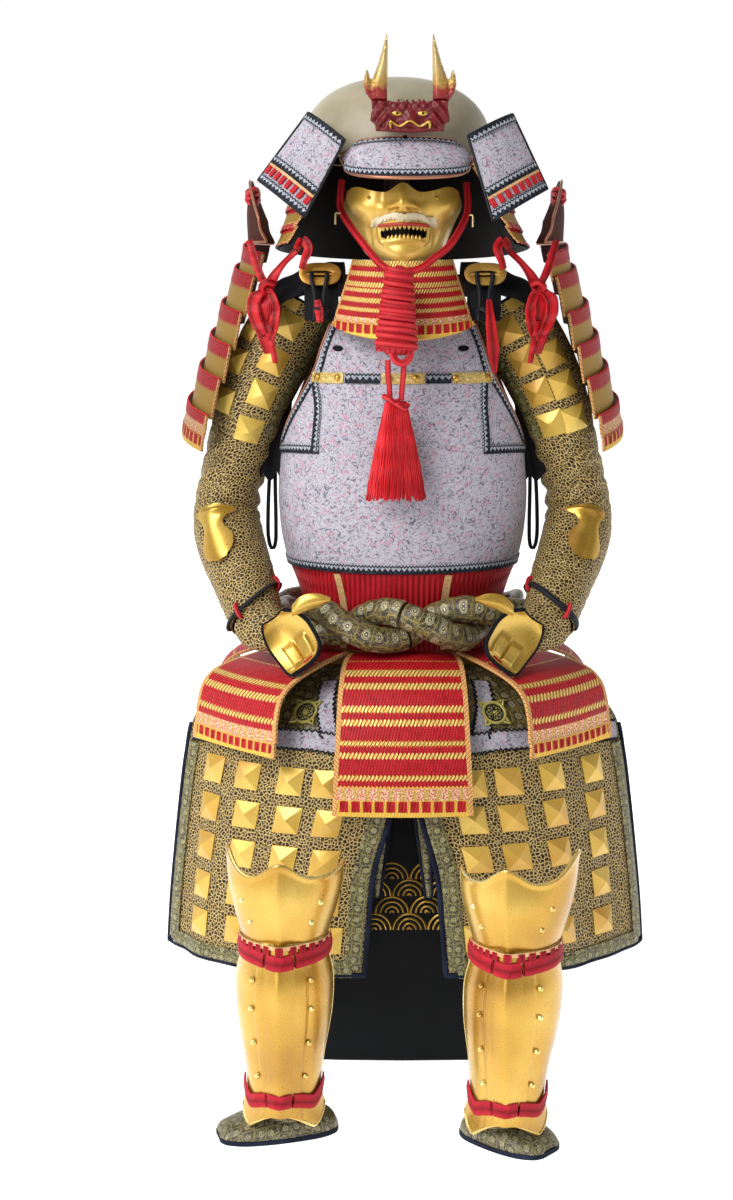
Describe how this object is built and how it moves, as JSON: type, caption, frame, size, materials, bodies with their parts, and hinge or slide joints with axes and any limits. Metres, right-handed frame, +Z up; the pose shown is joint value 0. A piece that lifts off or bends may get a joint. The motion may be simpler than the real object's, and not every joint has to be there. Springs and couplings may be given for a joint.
{
  "type": "samurai armour on its armour chest and inner stand",
  "caption": "Full laced armour for body, arms, legs and head, seated on its lacquered storage chest.",
  "frame": {"origin": "middle of the underside of the whole part's box, on the floor", "axes": "+Z up, the armour faces -Y"},
  "size_m": [0.723, 0.8392, 1.499],
  "materials": {
    "lacquer": "black lacquer over wood, satin",
    "stand_wood": "dark stained wood, matt",
    "grey_damask": "pale grey figured cloth on a stiff plate",
    "red_lacing": "red silk lacing over gilt plates",
    "gold_plate": "gilt lacquered sheet, polished",
    "gold_net_brocade": "gold net brocade over dark cloth",
    "dark_brocade": "dark brown brocade with a gold figure",
    "helmet_lacquer": "cream lacquer, satin",
    "brown_lacquer": "brown lacquer, satin",
    "black_cloth": "black cloth and cord",
    "red_silk": "red silk cord",
    "crest_lacquer": "dark red lacquer on carved wood"
  },
  "bodies": {
    "root": {"chest_body": "lacquer", "chest_lid": "lacquer", "stand": "stand_wood", "cuirass_front": "grey_damask", "visor": "grey_damask", "turned_wing_left": "grey_damask", "turned_wing_right": "grey_damask", "waist_lacing": "red_lacing", "tasset_front": "red_lacing", "tasset_front_left": "red_lacing", "tasset_front_right": "red_lacing", "tasset_side_left": "red_lacing", "tasset_side_right": "red_lacing", "tasset_back_left": "red_lacing", "tasset_back_right": "red_lacing", "shoulder_guard_left": "red_lacing", "shoulder_guard_right": "red_lacing", "throat_guard": "red_lacing", "strap_buckle_left": "gold_plate", "strap_buckle_right": "gold_plate", "elbow_plate_left": "gold_plate", "elbow_plate_right": "gold_plate", "hand_guard_left": "gold_plate", "hand_guard_right": "gold_plate", "thumb_guard_left": "gold_plate", "thumb_guard_right": "gold_plate", "mask": "gold_plate", "crest_horn_left": "gold_plate", "crest_horn_right": "gold_plate", "shin_guard_left": "gold_plate", "shin_guard_right": "gold_plate", "knee_cup_left": "gold_plate", "knee_cup_right": "gold_plate", "thigh_guard_left": "gold_net_brocade", "thigh_guard_right": "gold_net_brocade", "sleeve_left": "gold_net_brocade", "sleeve_right": "gold_net_brocade", "belt_strand_one": "dark_brocade", "belt_strand_two": "dark_brocade", "shoe_left": "dark_brocade", "shoe_right": "dark_brocade", "helmet_bowl": "helmet_lacquer", "shoulder_board_left": "brown_lacquer", "shoulder_board_right": "brown_lacquer", "cuirass_back": "black_cloth", "shoulder_strap_left": "black_cloth", "shoulder_strap_right": "black_cloth", "neck_guard": "black_cloth", "arm_cord_left": "black_cloth", "arm_cord_right": "black_cloth", "shoulder_ribbon_left": "red_silk", "shoulder_ribbon_right": "red_silk", "strap_ribbon_left": "red_silk", "strap_ribbon_right": "red_silk", "chin_cord": "red_silk", "chin_knot": "red_silk", "chin_strand_left": "red_silk", "chin_strand_right": "red_silk", "chin_tassel": "red_silk", "crest_head": "crest_lacquer"}
  },
  "joints": []
}
